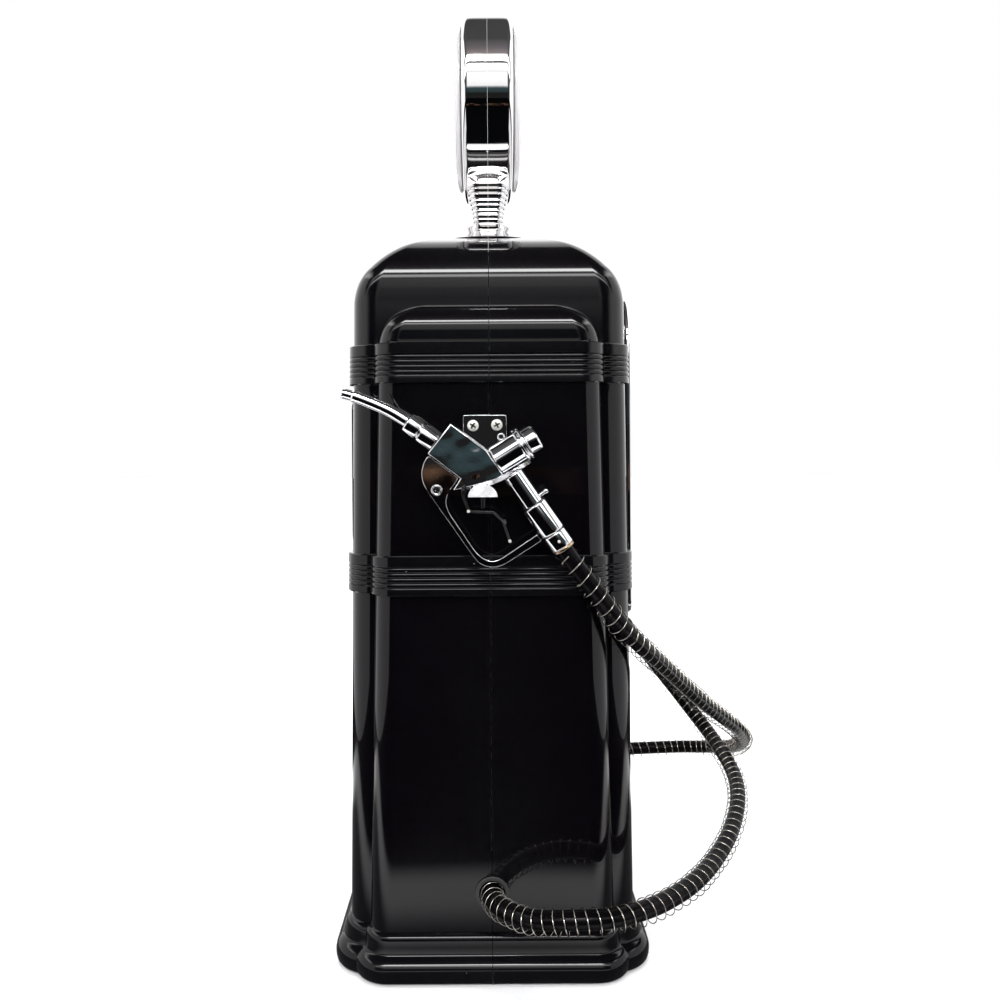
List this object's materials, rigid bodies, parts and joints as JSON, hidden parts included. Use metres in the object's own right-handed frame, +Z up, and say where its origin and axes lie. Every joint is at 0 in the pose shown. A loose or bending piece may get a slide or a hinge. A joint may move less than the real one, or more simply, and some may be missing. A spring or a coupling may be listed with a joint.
{
  "type": "pump-shaped drinks dispenser",
  "caption": "Tabletop drinks dispenser shaped like an old fuel pump, with a plated globe, a nozzle on each side and spring-guarded hoses that cross in front.",
  "frame": {"origin": "middle of the base, on the surface it stands on", "axes": "+Z up, the front faces -Y, the side panels face -X and +X"},
  "size_m": [0.2673, 0.2543, 0.5075],
  "materials": {
    "black_gloss": "gloss",
    "black_matte": "matte",
    "rubber": "matte",
    "chrome": "polished",
    "steel": "satin",
    "dark_steel": "satin",
    "hose": "gloss",
    "tank": "satin",
    "dial": "satin",
    "lens": "gloss"
  },
  "bodies": {
    "case": {"front_shell": "black_gloss", "rear_shell": "black_gloss", "base_plate": "black_matte", "dial_face": "dial", "dial_window": "lens", "front_frame": "chrome", "lower_plate": "black_gloss", "rear_plate": "black_gloss", "rear_screw": "chrome", "foot_front_left": "rubber", "foot_front_right": "rubber", "foot_rear_left": "rubber", "foot_rear_right": "rubber", "tank_left": "tank", "outlet_elbow_left": "black_matte", "hose_grommet_left": "rubber", "bracket_left": "chrome", "bracket_screw_front_left": "chrome", "bracket_screw_rear_left": "chrome", "hose_left": "hose", "hose_spring_left": "steel", "tank_right": "tank", "outlet_elbow_right": "black_matte", "hose_grommet_right": "rubber", "bracket_right": "chrome", "bracket_screw_front_right": "chrome", "bracket_screw_rear_right": "chrome", "hose_right": "hose", "hose_spring_right": "steel"},
    "globe": {"globe_front": "chrome", "globe_rear": "chrome", "lens_front": "lens", "lens_rear": "lens"},
    "nozzle_left": {"nozzle_body_left": "chrome", "nozzle_spout_left": "chrome", "nozzle_collar_left": "chrome", "nozzle_bonnet_left": "chrome", "nozzle_cap_left": "chrome", "nozzle_handle_left": "chrome", "nozzle_swivel_left": "chrome", "nozzle_ferrule_left": "chrome", "nozzle_guard_left": "chrome", "guard_screw_left": "chrome", "trigger_pin_left": "dark_steel"},
    "trigger_left": {"nozzle_trigger_left": "dark_steel"},
    "stem_left": {"valve_stem_left": "dark_steel"},
    "nozzle_right": {"nozzle_body_right": "chrome", "nozzle_spout_right": "chrome", "nozzle_collar_right": "chrome", "nozzle_bonnet_right": "chrome", "nozzle_cap_right": "chrome", "nozzle_handle_right": "chrome", "nozzle_swivel_right": "chrome", "nozzle_ferrule_right": "chrome", "nozzle_guard_right": "chrome", "guard_screw_right": "chrome", "trigger_pin_right": "dark_steel"},
    "trigger_right": {"nozzle_trigger_right": "dark_steel"},
    "stem_right": {"valve_stem_right": "dark_steel"}
  },
  "joints": [
    {"name": "globe_lift", "type": "slide", "parent": "case", "child": "globe", "axis": [0, 0, 1], "range_m": [0, 0.08]},
    {"name": "nozzle_left_off", "type": "slide", "parent": "case", "child": "nozzle_left", "axis": [-1, 0, 0], "range_m": [0, 0.03]},
    {"name": "trigger_left_squeeze", "type": "hinge", "parent": "nozzle_left", "child": "trigger_left", "pos_m": [-0.101, 0.0122, 0.2415], "axis": [-1, 0, 0], "range_deg": [0, 13], "stiffness_Nm_per_rad": 0.05, "springref_deg": -11.46},
    {"name": "stem_left_push", "type": "slide", "parent": "nozzle_left", "child": "stem_left", "axis": [0, 0, 1], "range_m": [0, 0.0021]},
    {"name": "nozzle_right_off", "type": "slide", "parent": "case", "child": "nozzle_right", "axis": [1, 0, 0], "range_m": [0, 0.03]},
    {"name": "trigger_right_squeeze", "type": "hinge", "parent": "nozzle_right", "child": "trigger_right", "pos_m": [0.101, 0.0122, 0.2415], "axis": [-1, 0, 0], "range_deg": [0, 13], "stiffness_Nm_per_rad": 0.05, "springref_deg": -11.46},
    {"name": "stem_right_push", "type": "slide", "parent": "nozzle_right", "child": "stem_right", "axis": [0, 0, 1], "range_m": [0, 0.0021]}
  ],
  "couplings": [
    {"joint": "stem_left_push", "follows": "trigger_left_squeeze", "m_per_rad": 0.0088},
    {"joint": "stem_right_push", "follows": "trigger_right_squeeze", "m_per_rad": 0.0088}
  ]
}
